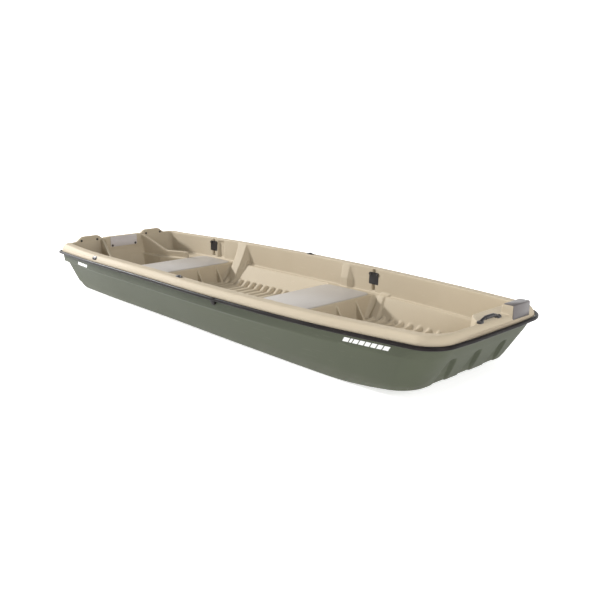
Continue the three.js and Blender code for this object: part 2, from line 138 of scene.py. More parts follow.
def loftSolid(name, rings):
    rings = [np.asarray(r, float) for r in rings]
    n = len(rings[0])
    faces = []
    for k in range(len(rings) - 1):
        for i in range(n):
            j = (i + 1) % n
            faces.append((k * n + i, k * n + j, (k + 1) * n + j, (k + 1) * n + i))
    faces.append(tuple(range(n))[::-1])
    faces.append(tuple((len(rings) - 1) * n + i for i in range(n)))
    return flipIfInside(meshObject(name, np.vstack(rings), faces, False))


def stackSolid(name, levels):
    n = len(shares)
    points, faces = [], []
    for rows in levels:
        points.append(rows * [1, -1, 1])
        points.append(rows)
    for k in range(len(levels) - 1):
        low, high = 2 * n * k, 2 * n * (k + 1)
        for i in range(n - 1):
            faces.append((low + i, low + i + 1, high + i + 1, high + i))
            faces.append((low + n + i + 1, low + n + i, high + n + i, high + n + i + 1))
        faces.append((low + n, low, high, high + n))
        faces.append((low + n - 1, low + 2 * n - 1, high + 2 * n - 1, high + n - 1))
    top = 2 * n * (len(levels) - 1)
    for i in range(n - 1):
        faces.append((i, i + n, i + n + 1, i + 1))
        faces.append((top + i, top + i + 1, top + n + i + 1, top + n + i))
    return flipIfInside(meshObject(name, np.vstack(points), faces, False))


def block(name, x0, x1, y0, y1, z0, z1):
    foot = [(x0, y0, z0), (x1, y0, z0), (x1, y1, z0), (x0, y1, z0)]
    return loftSolid(name, [foot, [(x, y, z1) for x, y, _ in foot]])


def across(name, profile, y0, y1):
    return loftSolid(name, [[(x, y, z) for x, z in profile] for y in (y0, y1)])


def takeMesh(obj):
    graph = bpy.context.evaluated_depsgraph_get()
    mesh = bpy.data.meshes.new_from_object(obj.evaluated_get(graph))
    obj.modifiers.clear()
    old = obj.data
    obj.data = mesh
    bpy.data.meshes.remove(old)
    return obj


def duplicate(obj):
    return newObject(obj.name, obj.data.copy())


def modify(obj, kind, **values):
    mod = obj.modifiers.new(kind.lower(), kind)
    for key, value in values.items():
        setattr(mod, key, value)


def combine(obj, others, operation):
    for other in others:
        modify(obj, "BOOLEAN", operation=operation, solver="MANIFOLD", object=other)
    takeMesh(obj)
    for other in others:
        bpy.data.objects.remove(other)
    return obj


def soften(obj, voxel, passes, keep):
    modify(obj, "REMESH", mode="VOXEL", voxel_size=voxel)
    modify(obj, "SMOOTH", factor=0.5, iterations=passes)
    takeMesh(obj)
    modify(obj, "DECIMATE", ratio=min(1, keep / (len(obj.data.polygons) * 2)))
    takeMesh(obj)
    obj.data.shade_smooth()
    return obj


def finishPiece(obj, material, slotName, *nodes):
    obj.data.materials.clear()
    obj.data.materials.append(material)
    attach(obj, "root")
    if nodes:
        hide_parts(*nodes)
    return obj


# node groups, for shaders and for geometry
def newGroup(name, inputs, outputs, kind="ShaderNodeTree"):
    tree = bpy.data.node_groups.new(name, kind)
    for label, sort, value in inputs:
        socket = tree.interface.new_socket(label, in_out="INPUT", socket_type="NodeSocket" + sort)
        if value is not None:
            socket.default_value = value
    for label, sort in outputs:
        tree.interface.new_socket(label, in_out="OUTPUT", socket_type="NodeSocket" + sort)
    given, out = tree.nodes.new("NodeGroupInput"), tree.nodes.new("NodeGroupOutput")
    return tree, given.outputs, out.inputs


# a socket takes a link or a constant
def feed(tree, socket, value):
    if hasattr(value, "is_linked"):
        tree.links.new(value, socket)
    elif value is not None:
        socket.default_value = value


def noiseNode(tree, vector, scale, detail=2.0, roughness=0.5):
    node = tree.nodes.new("ShaderNodeTexNoise")
    node.inputs["Detail"].default_value = detail
    node.inputs["Roughness"].default_value = roughness
    feed(tree, node.inputs["Scale"], scale)
    feed(tree, node.inputs["Vector"], vector)
    return node.outputs["Fac"]


def mathNode(tree, operation, a, b=None, clamp=False):
    node = tree.nodes.new("ShaderNodeMath")
    node.operation = operation
    node.use_clamp = clamp
    feed(tree, node.inputs[0], a)
    feed(tree, node.inputs[1], b)
    return node.outputs[0]


def times(tree, a, b, clamp=False):
    return mathNode(tree, "MULTIPLY", a, b, clamp)


def rangeNode(tree, value, low, high, toLow=0.0, toHigh=1.0):
    node = tree.nodes.new("ShaderNodeMapRange")
    node.interpolation_type = "SMOOTHSTEP"
    for label, v in (("From Min", low), ("From Max", high), ("To Min", toLow), ("To Max", toHigh)):
        node.inputs[label].default_value = v
    tree.links.new(value, node.inputs["Value"])
    return node.outputs["Result"]


def mixColour(tree, factor, a, b):
    node = tree.nodes.new("ShaderNodeMix")
    node.data_type = "RGBA"
    for k, value in ((0, factor), (6, a), (7, b)):
        feed(tree, node.inputs[k], value)
    return node.outputs[2]


# uneven tone of a moulded skin: slow clouds and a fine fleck
def makeTone():
    tree, given, out = newGroup("moulded tone", [
        ("Vector", "Vector", None), ("Colour", "Color", (.5, .5, .5, 1)),
        ("Worn Colour", "Color", (.6, .6, .6, 1)), ("Cloud Scale", "Float", 3.0),
        ("Strength", "Float", 0.3)], [("Colour", "Color"), ("Mask", "Float")])
    vector = given["Vector"]
    cloud = noiseNode(tree, vector, given["Cloud Scale"], 4.0)
    fleck = noiseNode(tree, vector, 420.0, 1.0)
    cloudMask = rangeNode(tree, cloud, 0.35, 0.70)
    fleckMask = rangeNode(tree, fleck, 0.42, 0.75)
    both = mathNode(tree, "ADD", times(tree, cloudMask, 0.65), times(tree, fleckMask, 0.35))
    mask = times(tree, both, given["Strength"], True)
    tree.links.new(mixColour(tree, mask, given["Colour"], given["Worn Colour"]), out["Colour"])
    tree.links.new(mask, out["Mask"])
    return tree


# fine pebble of a moulded surface, as a height
def makePebble():
    tree, given, out = newGroup("pebble grain", [
        ("Vector", "Vector", None), ("Grain", "Float", 600.0), ("Ripple", "Float", 7.0)],
        [("Height", "Float")])
    vector = given["Vector"]
    cells = tree.nodes.new("ShaderNodeTexVoronoi")
    cells.feature = "SMOOTH_F1"
    tree.links.new(vector, cells.inputs["Vector"])
    tree.links.new(given["Grain"], cells.inputs["Scale"])
    grain = times(tree, cells.outputs["Distance"], 0.5)
    ripple = times(tree, noiseNode(tree, vector, given["Ripple"], 2.0), 1.6)
    tree.links.new(mathNode(tree, "ADD", grain, ripple), out["Height"])
    return tree


# scuffs: stretched noise broken into short marks
def makeScuffs():
    tree, given, out = newGroup("scuff marks", [
        ("Vector", "Vector", None), ("Stretch", "Vector", (6, 60, 90)),
        ("Amount", "Float", 0.5)], [("Mask", "Float")])
    scaled = tree.nodes.new("ShaderNodeVectorMath")
    scaled.operation = "MULTIPLY"
    tree.links.new(given["Vector"], scaled.inputs[0])
    tree.links.new(given["Stretch"], scaled.inputs[1])
    lines = rangeNode(tree, noiseNode(tree, scaled.outputs[0], 1.0, 3.0, 0.6), 0.60, 0.72)
    patches = rangeNode(tree, noiseNode(tree, given["Vector"], 2.3, 2.0), 0.45, 0.65)
    mask = times(tree, lines, patches)
    tree.links.new(times(tree, mask, given["Amount"], True), out["Mask"])
    return tree


toneGroup, pebbleGroup, scuffGroup = makeTone(), makePebble(), makeScuffs()


def groupNode(tree, group, **values):
    node = tree.nodes.new("ShaderNodeGroup")
    node.node_tree = group
    for label, value in values.items():
        feed(tree, node.inputs[label.replace("_", " ")], value)
    return node


def newMaterial(name):
    material = bpy.data.materials.new(name)
    material.use_nodes = True
    tree = material.node_tree
    shader = tree.nodes["Principled BSDF"]
    place = tree.nodes.new("ShaderNodeTexCoord").outputs["Object"]
    return material, tree, shader, place


def mouldedPlastic(name, colour, worn, roughness, bump, cloud=3.0, strength=0.3, scuff=0.2,
                   stretch=(6, 60, 90), grain=600.0, ripple=7.0, specular=0.5, shade=None):
    material, tree, shader, place = newMaterial(name)
    shader.inputs["Specular IOR Level"].default_value = specular
    tone = groupNode(tree, toneGroup, Vector=place, Colour=(*colour, 1), Worn_Colour=(*worn, 1),
                     Cloud_Scale=cloud, Strength=strength)
    pebble = groupNode(tree, pebbleGroup, Vector=place, Grain=grain, Ripple=ripple)
    marks = groupNode(tree, scuffGroup, Vector=place, Stretch=stretch, Amount=scuff)
    base = tone.outputs["Colour"]
    if shade:
        base = shade(tree, place, base)
    lighter = tuple(min(1, c * 1.25 + 0.03) for c in worn) + (1,)
    colourOut = mixColour(tree, marks.outputs["Mask"], base, lighter)
    tree.links.new(colourOut, shader.inputs["Base Color"])
    rough = mathNode(tree, "ADD", times(tree, tone.outputs["Mask"], 0.22), roughness)
    rough = mathNode(tree, "ADD", rough, times(tree, marks.outputs["Mask"], 0.15), True)
    tree.links.new(rough, shader.inputs["Roughness"])
    bumpNode = tree.nodes.new("ShaderNodeBump")
    bumpNode.inputs["Strength"].default_value = bump
    bumpNode.inputs["Distance"].default_value = 0.0006
    tree.links.new(pebble.outputs["Height"], bumpNode.inputs["Height"])
    tree.links.new(bumpNode.outputs["Normal"], shader.inputs["Normal"])
    return material


# painted shade under the rail: the strip of the side above its crease is painted dimmer, fading out
# toward the bow, and the bottom is dusty
def hullPaintedShadeAndDust(tree, place, base):
    split = tree.nodes.new("ShaderNodeSeparateXYZ")
    tree.links.new(place, split.inputs[0])
    # painted shade: mask of the rail's shade on the strip above the crease, full at the stern half,
    # gone toward the bow
    railShadeMask = times(tree, rangeNode(tree, split.outputs["Z"], 0.236, 0.244, 0.0, 0.55),
                     rangeNode(tree, split.outputs["X"], 0.45, 1.15, 1.0, 0.0))
    # the strip in the rail's shade is painted toward this dim olive as painted shade
    shadedStrip = mixColour(tree, railShadeMask, base, (0.034, 0.040, 0.024, 1))
    dust = times(tree, rangeNode(tree, split.outputs["Z"], 0.10, 0.0),
                    noiseNode(tree, place, 9.0, 4.0))
    return mixColour(tree, times(tree, dust, 0.35), shadedStrip, (0.20, 0.195, 0.165, 1))


hullMaterial = mouldedPlastic("olive moulded hull", (0.056, 0.063, 0.038), (0.085, 0.093, 0.062),
                              0.58, 0.35, cloud=2.2, strength=0.35, scuff=0.25, specular=0.32,
                              shade=hullPaintedShadeAndDust)
linerMaterial = mouldedPlastic("tan moulded liner", (0.425, 0.360, 0.262), (0.50, 0.435, 0.332),
                               0.64, 0.40, strength=0.40, scuff=0.12,
                               stretch=(9, 9, 40), grain=420.0, specular=0.22)
benchMaterial = mouldedPlastic("grey bench skin", (0.400, 0.372, 0.340), (0.475, 0.445, 0.412),
                               0.36, 0.30, cloud=5.0, strength=0.35,
                               stretch=(70, 8, 8), grain=350.0)
railMaterial = mouldedPlastic("black rubber rail", (0.008, 0.006, 0.006), (0.030, 0.025, 0.024),
                              0.34, 0.30, cloud=8.0, strength=0.45, scuff=0.30,
                              stretch=(10, 60, 60), grain=900.0, specular=0.10)
plateMaterial = mouldedPlastic("grey wear plate", (0.46, 0.425, 0.415), (0.56, 0.525, 0.515),
                               0.42, 0.35, cloud=9.0, strength=0.45, scuff=0.35,
                               stretch=(50, 12, 50), grain=800.0)
# painted shade: a copy of the grey wear plate painted dark, so the bow plate's front face looks shaded;
# its glossy top still catches the sky
shadedBowPlateMaterial = mouldedPlastic("wear plate painted dark for shade", (0.090, 0.079, 0.077), (0.140, 0.126, 0.123),
                                  0.30, 0.35, cloud=9.0, strength=0.45, scuff=0.35,
                                  stretch=(50, 12, 50), grain=800.0)
trimMaterial = mouldedPlastic("black glossy plastic", (0.016, 0.014, 0.015), (0.040, 0.038, 0.040),
                              0.30, 0.20, cloud=12.0, strength=0.40, scuff=0.30,
                              stretch=(40, 40, 60), grain=900.0)
decalMaterial = mouldedPlastic("pale vinyl", (0.80, 0.80, 0.78), (0.66, 0.66, 0.63),
                               0.35, 0.15, cloud=14.0, grain=500.0)
boltMaterial = mouldedPlastic("blackened bolts", (0.030, 0.026, 0.024), (0.080, 0.068, 0.058),
                              0.34, 0.15, cloud=60.0, strength=0.50, scuff=0.30,
                              stretch=(200, 200, 200), grain=1500.0)
bpy.context.scene.view_settings.view_transform = "Standard"
print("materials made")

# hull
hullSizes = dict(channelY=(-0.207, 0.004, 0.232), depth=0.009, lean=-0.048, edge=0.006,
                 reach=0.300, columns=99, spacing=0.012, wall=0.006)
# rows up the side: height amidships and at the bow, or depth below the rail; both ends; share of
# the way out to the rail, with its fade toward the bow and tuck at the stern; growth; corner radii
hullRows = [
    dict(z=0.0, bowZ=0.044, aft=-1.700, bow=1.628, out=0.0, grow=-0.012, radii=(0.040, 0.130)),
    dict(z=0.020, bowZ=0.072, aft=-1.712, bow=1.650, out=0.05, grow=0.0, radii=(0.042, 0.138)),
    dict(z=0.047, bowZ=0.096, aft=-1.722, bow=1.668, out=0.15, grow=0.0, radii=(0.042, 0.142)),
    dict(z=0.057, bowZ=0.105, aft=-1.749, bow=1.675, out=0.19, grow=0.0, radii=(0.042, 0.144)),
    dict(below=0.080, aft=-1.762, bow=1.7595, out=0.88, fade=0.04, tuck=-0.10, grow=-0.003,
         radii=(0.046, 0.152)),
    dict(below=0.066, aft=-1.787, bow=1.7685, out=0.98, fade=-0.015, grow=-0.001,
         radii=(0.050, 0.153)),
    dict(below=0.014, aft=-1.797, bow=1.799, out=1.0, grow=-0.001, radii=(0.050, 0.152)),
    dict(below=0.0003, aft=-1.8095, bow=1.8095, out=1.0, grow=0.0, radii=(0.036, 0.150)),
]
hullCorners = [0.0, 0.012, 0.020, 0.006, 0.005, 0.006, 0.005, 0.005, 0.0]


def hullLevel(row):
    def half(x):
        top = halfBeam(x) - boat["sideSetIn"]
        fade = np.clip((x - 0.2) / 0.9, 0, 1) * row.get("fade", 0)
        fade = fade + np.clip((-1.0 - x) / 0.7, 0, 1) * row.get("tuck", 0)
        return chine(x) + (top - chine(x)) * (row["out"] + fade) + row["grow"]

    def height(x):
        if "below" in row:
            return railZ(x) - row["below"]
        return row["z"] + (row["bowZ"] - row["z"]) * rocker(x) / rockerRise[-1][1]
    return level(row["aft"], row["bow"], half, height, *row["radii"])


def toward(here, there, radius):
    gap = np.linalg.norm(there - here, axis=1, keepdims=True)
    return here + (there - here) / gap * np.minimum(radius, gap * 0.45)


def roundProfile(levels, radii, samples=5):
    levels = np.array(levels)
    rows = [levels[0]]
    for k in range(1, len(levels) - 1):
        here = levels[k]
        a, b = (toward(here, levels[k + step], radii[k]) for step in (-1, 1))
        for t in np.linspace(0, 1, samples):
            rows.append(a * (1 - t)**2 + here * 2 * t * (1 - t) + b * t**2)
    rows.append(levels[-1])
    return np.array(rows)


def spread(rows, longest):
    out = [rows[0]]
    for a, b in zip(rows[:-1], rows[1:]):
        gap = np.linalg.norm(b - a, axis=1).max()
        for t in np.linspace(0, 1, max(1, math.ceil(gap / longest)) + 1)[1:]:
            out.append(a + (b - a) * t)
    return np.array(out)


def buildHull():
    s = hullSizes
    foot = dict(hullRows[0], grow=-0.048, aft=-1.664, bow=1.592, radii=(0.025, 0.11))
    profile = [hullLevel(foot)] + [hullLevel(row) for row in hullRows]
    rows = spread(roundProfile(profile, hullCorners), s["spacing"])
    n = len(shares)
    reach = s["reach"]
    columns = np.linspace(-reach + 0.005, reach - 0.005, s["columns"])
    edge = np.array([0.3, 0.65])

    def crossRow(y):
        outer = reach + (y - reach) * edge
        inside = columns / reach * min(reach, y * 0.97)
        return np.concatenate([-outer[::-1], inside, outer])
    count = len(columns) + 2 * len(edge)
    points, index = [], {}

    def put(key, p):
        index[key] = len(points)
        points.append(p)
    # side rows, port then starboard; bow, transom and bottom are filled across
    for r, row in enumerate(rows):
        for i, p in enumerate(row):
            put(("p", r, i), p)
            put(("s", r, i), p * [1, -1, 1])
    ends = (("bow", n - 1), ("aft", 0))
    for r, row in enumerate(rows[1:], 1):
        for tag, i in ends:
            for j, y in enumerate(crossRow(row[i][1])):
                put((tag, r, j), np.array([row[i][0], y, row[i][2]]))
    for i, p in enumerate(rows[0]):
        for j, y in enumerate(crossRow(p[1])):
            put(("low", i, j), np.array([p[0], y, p[2]]))
    for tag, i in ends:
        for j in range(count):
            index[(tag, 0, j)] = index[("low", i, j)]

    # j runs from -1 (starboard edge) to count (port edge)
    def at(key, r, i, j):
        if 0 <= j < count:
            return index[key]
        return index[("s" if j < 0 else "p", r, i)]
    faces = []

    def weave(pick, lines, columns, flip):
        for r in lines:
            for i in columns:
                face = (pick(r, i), pick(r, i + 1), pick(r + 1, i + 1), pick(r + 1, i))
                faces.append(face[::-1] if flip else face)
    upward, along, across = range(len(rows) - 1), range(n - 1), range(-1, count)
    weave(lambda r, i: index[("p", r, i)], upward, along, True)
    weave(lambda r, i: index[("s", r, i)], upward, along, False)
    weave(lambda r, j: at(("bow", r, j), r, n - 1, j), upward, across, False)
    weave(lambda r, j: at(("aft", r, j), r, 0, j), upward, across, True)
    weave(lambda j, i: at(("low", i, j), 0, i, j), across, along, True)
    p = np.array(points)
    # channels: along the bottom, wider round the forefoot, closing up the bow
    path = np.array([[-1.74, 0.027, 1.0], [1.20, 0.030, 1.0], [1.45, 0.039, 0.9], [1.59, 0.051, 0.5],
                     [1.628, 0.053, 0.55], [1.66, 0.050, 1.7], [1.70, 0.041, 2.1], [1.725, 0.033, 2.0],
                     [1.736, 0.027, 1.8], [1.742, 0.020, 1.2], [1.747, 0.010, 0.3], [1.75, 0.0, 0.0]])
    half = np.interp(p[:, 0], path[:, 0], path[:, 1])
    deep = np.interp(p[:, 0], path[:, 0], path[:, 2]) * s["depth"]
    shift = np.clip((p[:, 0] - 1.628) / 0.109, 0, 1) * s["lean"]
    depth = np.zeros(len(p))
    for c in s["channelY"]:
        away = np.abs(p[:, 1] - c - shift)
        t = np.clip((half + s["edge"] - away) / (2 * s["edge"]), 0, 1)
        depth = np.maximum(depth, deep * t * t * (3 - 2 * t))
    low = np.clip((0.215 - p[:, 2]) / 0.010, 0, 1)
    face = np.clip((p[:, 0] - 1.55) / 0.08, 0, 1)
    push = np.stack([-0.82 * face, 0 * face, 1 - 0.43 * face], 1)
    p = p + push * (depth * low * (np.abs(p[:, 1]) < reach))[:, None]
    return crown(p), faces


hull = flipIfInside(meshObject("hull_body", *buildHull()))
modify(hull, "SOLIDIFY", thickness=hullSizes["wall"], offset=-1)
takeMesh(hull)
hull.data.shade_smooth()
finishPiece(hull, hullMaterial, "hull", "hull_shell")
print("hull:", len(hull.data.polygons), "faces")

# liner
linerSizes = dict(voxel=0.0042, easing=4, triangles=185000,
                  pillarRear=(-0.866, -0.759), pillarMiddle=(0.632, 0.700), knee=(0.263, 0.347),
                  gussets=(-0.322, -0.145, 0.145, 0.322), rodRear=-1.184, rodMiddle=0.557,
                  ribWidth=0.040)


def wallAt(inset):
    return lambda x: halfBeam(x) - inset


def flat(z):
    return lambda x: z + 0 * x


def footwell(name, aft, bow, bowRun=0.014, bowRadius=0.030):
    b = boat

    def ring(share, half, z):
        return level(aft + 0.014 * share, bow - bowRun * share, half, flat(z), 0.030, bowRadius)
    return stackSolid(name, [
        ring(1, lambda x: chine(x) - 0.054, b["floorZ"]),
        ring(0.9, lambda x: chine(x) - 0.042, b["floorZ"] + 0.010),
        ring(0, wallAt(b["innerEdge"] + 0.020), b["ledgeZ"] - 0.006),
        ring(0, wallAt(b["innerEdge"] + 0.009), b["ledgeZ"] + 0.004),
    ])


def pillar(name, side, x0, x1, foot, out, crest=0.258, top=None):
    def section(x, reach):
        edge = float(halfBeam(x)) - boat["innerEdge"]
        high = top if top else float(gunwaleZ(x)) - 0.006
        low = edge - reach if foot > 0.1 else float(chine(x)) - 0.054 - reach * 0.3
        return [(x, side * y, z) for y, z in (
            (edge + 0.04, foot - 0.004), (low, foot - 0.004), (edge - reach, crest),
            (edge - 0.002, high), (edge + 0.04, high))]
    return loftSolid(name, [section(x0 - .010, .004), section(x0 + .006, out),
                            section(x1 - .014, out), section(x1 + .020, .004)])


# a rib crosses the floor and climbs the foot of each slope as a rounded finger
def rib(x):
    foot = float(chine(x))
    rings = []
    low, start = (0.016, 0.004) if x > boat["middleBench"][1] else (0.0, 0.0)
    for along, sunk in ((start, .012), (start + .005, .004), (.014, 0), (.026 - start, 0),
                        (.035 - start, .004), (.040 - start, .012)):
        half = [(foot - .105, .065 - sunk * .7), (foot - .080, .069 - sunk),
                (foot - .058, .088 - low - sunk), (foot - .041, .100 - low - sunk * .6),
                (foot - .027, .100 - low), (foot - .018, .050)]
        section = [(-y, z) for y, z in half[::-1]] + half
        rings.append([(x + along, y, z) for y, z in section])
    return loftSolid("rib", rings)


def buildLiner():
    b, s = boat, linerSizes
    outer = [
        level(-b["length"] / 2 + end, b["length"] / 2 - d, wallAt(d),
              lambda x, u=up: railZ(x) + .0003 + (gunwaleZ(x) - railZ(x)) * u, ra, rb)
        for d, end, up, ra, rb in ((.0205, .0205, 0, .036, .128), (.0225, .022, .28, .036, .126),
                                   (.031, .023, .62, .038, .118), (.041, .025, .87, .040, .112),
                                   (.050, .031, 1.0, .042, .106))]
    inside = [
        level(-1.680, 1.545, lambda x: chine(x) - 0.026, lambda x: 0.024 + rocker(x), .034, .140),
        level(-1.733, 1.640, lambda x: halfBeam(x) - 0.112, flat(0.140), .030, .140)]
    body = stackSolid("deck_liner_body", inside + outer)
    ys = [.1655, .172, .195, .21, .225, .30, .35, .365, .385, .40, .43, .47]
    ys = [-y for y in ys[::-1]] + ys
    crestRows = ([0, .166, .167, .18, .205, .225, .35, .37, .40, .47],
                 [.368, .368, .356, .360, .386, .391, .391, .382, .356, .346])

    def ridgeRing(y):
        crest = float(np.interp(abs(y), *crestRows))
        face = b["motorPadInner"] if abs(y) < .166 else b["transomInner"] + .001
        return [(b["transomOuter"], y, .325), (face, y, .325), (face, y, crest),
                (b["transomOuter"], y, crest)]
    ridge = loftSolid("ridge", [ridgeRing(y) for y in ys])
    pad = block("pad", b["transomInner"] - .002, b["motorPadInner"], -.164, .164, .235, .350)
    bowPad = loftSolid("bowPad", [[(x + lift, y, z) for x, y in (
        (1.733, .155), (1.797, .155), (1.797, .317), (1.733, .330))]
        for z, lift in ((.33, 0), (.404, .002))])
    keepers = [ridge, pad, bowPad]
    combine(body, [duplicate(o) for o in keepers], "UNION")

    # everything that is open above the liner
    top = dict(aftRadius=.05, bowRadius=.11)
    room = stackSolid("room", [
        level(-1.745, 1.640, wallAt(b["innerEdge"] + .009), flat(b["benchZ"]), **top),
        level(b["transomInner"], 1.768, wallAt(b["innerEdge"]), lambda x: gunwaleZ(x) + .001, **top),
        level(b["transomInner"], 1.768, wallAt(b["innerEdge"]), flat(.52), **top)])
    wells = [footwell("wellMiddle", b["rearBench"][1], b["middleBench"][0]),
             footwell("wellForward", b["middleBench"][1], 1.596, .190, .110)]

    def aftRing(aft, z, reach):
        sides = [(aft - reach, b["wellHalf"]), (-1.52, b["wellHalf"] + .030),
                 (b["rearBench"][0] + reach, .300)]
        return [(x, -y - reach, z) for x, y in sides] + [(x, y + reach, z) for x, y in sides[::-1]]
    wells.append(loftSolid("wellAft", [aftRing(-1.704, .080, -.014), aftRing(-1.744, .199, 0),
                                       aftRing(-1.757, .257, 0)]))
    for side in (-1, 1):
        for x, half, deep, z0, z1 in ((s["rodRear"], .013, .017, .212, .345),
                                      (s["rodMiddle"], .013, .017, .212, .350),
                                      (-1.092, .039, .011, .205, .338)):
            edge = float(halfBeam(x)) - b["innerEdge"]
            y0, y1 = sorted((side * (edge - .03), side * (edge - .004 + deep)))
            wells.append(block("groove", x - half, x + half, y0, y1, z0, z1))
    combine(room, wells, "UNION")
    deck = [(1.690, -.008), (1.668, .030), (1.668, .520), (1.80, .520), (1.80, -.066), (1.752, -.066)]
    bowDeck = loftSolid("bowDeck", [[(max(x - .046, 1.6), y, .150) for x, y in deck],
                                    [(x, y, .52) for x, y in deck]])
    fills = [bowDeck]
    for side in (-1, 1):
        wing = [(-1.79, .372), (-1.50, .246), (-1.285, .250), (-1.285, .120), (-1.79, .120)]
        fills.append(loftSolid("wing", [
            [(x, side * (b["wellHalf"] + .004 + max(x + 1.757, 0) * .283 + k), z) for x, z in wing]
            for k in (0, .022)]))
        fills.append(pillar("pillar", side, *s["pillarRear"], b["floorZ"], .046))
        fills.append(pillar("pillar", side, *s["pillarMiddle"], b["floorZ"], .040, .196, .214))
        fills.append(pillar("knee", side, *s["knee"], b["benchZ"], .030))
    for front in (b["rearBench"][1], b["middleBench"][1]):
        for y in s["gussets"]:
            shape = [(front - .02, .190), (front - .002, .190), (front + .088, .054),
                     (front - .02, .054)]
            fills.append(across("gusset", shape, y - .007, y + .007))
    for start, end in ((-.868, .150), (.640, 1.400)):
        x = start
        while x + s["ribWidth"] < end:
            fills.append(rib(x))
            x += b["ribPitch"]
    combine(room, fills + keepers, "DIFFERENCE")
    combine(body, [room], "DIFFERENCE")
    return soften(body, s["voxel"], s["easing"], s["triangles"])


liner = buildLiner()
moved = crown(np.array([v.co for v in liner.data.vertices]))
liner.data.vertices.foreach_set("co", moved.ravel())
liner.data.update()
finishPiece(liner, linerMaterial, "liner", "deck_liner")
print("liner:", len(liner.data.polygons), "faces")


# small shapes shared by the fittings
def roundedOutline(width, height, corner, steps=6):
    out = []
    for cx, cy, start in ((1, 1, 0), (-1, 1, 90), (-1, -1, 180), (1, -1, 270)):
        for a in np.radians(np.linspace(start, start + 90, steps)):
            out.append((cx * (width / 2 - corner) + corner * math.cos(a),
                        cy * (height / 2 - corner) + corner * math.sin(a)))
    return np.array(out)


# a flat slab with a rounded outline and softened front edge, laid on a plane
def slab(name, centre, right, up, width, height, thick, corner, edge=0.0012):
    right, up = Vector(right).normalized(), Vector(up).normalized()
    out = right.cross(up)
    rings = []
    for depth, inset in ((0, 0), (thick - edge, 0), (thick - edge * .3, edge * .3), (thick, edge)):
        shape = roundedOutline(width - 2 * inset, height - 2 * inset, max(corner - inset, .0004))
        rings.append([Vector(centre) + right * u + up * v + out * depth for u, v in shape])
    return loftSolid(name, rings)


def bevelled(obj, width, segments=3):
    modify(obj, "BEVEL", width=width, segments=segments, limit_method="ANGLE")
    return shadeByAngle(takeMesh(obj))


def shadeByAngle(obj, degrees=38):
    obj.data.shade_smooth()
    obj.data.set_sharp_from_angle(angle=math.radians(degrees))
    return obj


def turned(name, profile, centre, axis, sides=32):
    axis = Vector(axis).normalized()
    side = axis.orthogonal().normalized()
    other = axis.cross(side)
    points, faces = [], []
    n = len(profile)
    for k in range(sides):
        a = 2 * math.pi * k / sides
        ray = side * math.cos(a) + other * math.sin(a)
        points += [Vector(centre) + ray * r + axis * h for r, h in profile]
    for k in range(sides):
        for i in range(n):
            a, b = k * n + i, k * n + (i + 1) % n
            c, d = (k + 1) % sides * n + i, (k + 1) % sides * n + (i + 1) % n
            faces.append((a, b, d, c))
    obj = meshObject(name, points, faces, False)
    work = bmesh.new()
    work.from_mesh(obj.data)
    bmesh.ops.remove_doubles(work, verts=work.verts, dist=1e-6)
    bmesh.ops.dissolve_degenerate(work, edges=work.edges, dist=1e-7)
    work.to_mesh(obj.data)
    work.free()
    return shadeByAngle(flipIfInside(obj))


def sweep(name, path, radii, sides=14):
    path = [Vector(p) for p in path]
    rings = []
    side = None
    for k, p in enumerate(path):
        ahead = (path[min(k + 1, len(path) - 1)] - path[max(k - 1, 0)]).normalized()
        side = ahead.orthogonal() if side is None else side - ahead * side.dot(ahead)
        side.normalize()
        other = ahead.cross(side)
        rings.append([p + (side * math.cos(a) + other * math.sin(a)) * radii[k]
                      for a in np.linspace(0, 2 * math.pi, sides, endpoint=False)])
    return shadeByAngle(loftSolid(name, rings), 50)


def joined(name, objs):
    for o in objs:
        o.select_set(True)
    with bpy.context.temp_override(active_object=objs[0], selected_editable_objects=objs):
        bpy.ops.object.join()
    objs[0].name = name
    return objs[0]


# geometry nodes; a link may name a node, which stands for its first output
def addNode(tree, kind, links, **values):
    node = tree.nodes.new(kind)
    for key, value in values.items():
        label = key.replace("_", " ")
        if label in node.inputs:
            node.inputs[label].default_value = value
        else:
            setattr(node, key, value)
    for label, source in links.items():
        tree.links.new(getattr(source, "outputs", [source])[0], node.inputs[label])
    return node


def openTree(name, inputs):
    return newGroup(name, [("Geometry", "Geometry", None), *inputs, ("Material", "Material", None)],
                    [("Geometry", "Geometry")], "GeometryNodeTree")


def closeTree(tree, geometry, given, out):
    real = addNode(tree, "GeometryNodeRealizeInstances", {"Geometry": geometry})
    paint = addNode(tree, "GeometryNodeSetMaterial", {"Geometry": real, "Material": given["Material"]})
    tree.links.new(paint.outputs[0], out["Geometry"])
    return tree


def growWith(obj, tree, **values):
    mod = obj.modifiers.new(tree.name, "NODES")
    mod.node_group = tree
    ids = {item.name: item.identifier for item in tree.interface.items_tree if item.in_out == "INPUT"}
    for label, value in values.items():
        mod[ids[label.replace("_", " ")]] = value
    takeMesh(obj)
    return obj


# a rounded bar swept along a line of edges
def railTree():
    tree, given, out = openTree("rub rail sweep", [
        ("Depth", "Float", .02), ("Height", "Float", .021), ("Round", "Float", .008)])
    line = addNode(tree, "GeometryNodeMeshToCurve", {"Mesh": given["Geometry"]})
    upright = addNode(tree, "GeometryNodeSetCurveNormal", {"Curve": line}, mode="Z_UP")
    bar = addNode(tree, "GeometryNodeCurvePrimitiveQuadrilateral",
                  {"Width": given["Depth"], "Height": given["Height"]})
    rounded = addNode(tree, "GeometryNodeFilletCurve", {"Curve": bar, "Radius": given["Round"]},
                      mode="POLY", Count=5)
    body = addNode(tree, "GeometryNodeCurveToMesh", {"Curve": upright, "Profile Curve": rounded},
                   Fill_Caps=True)
    smooth = addNode(tree, "GeometryNodeSetShadeSmooth", {"Geometry": body})
    return closeTree(tree, smooth, given, out)


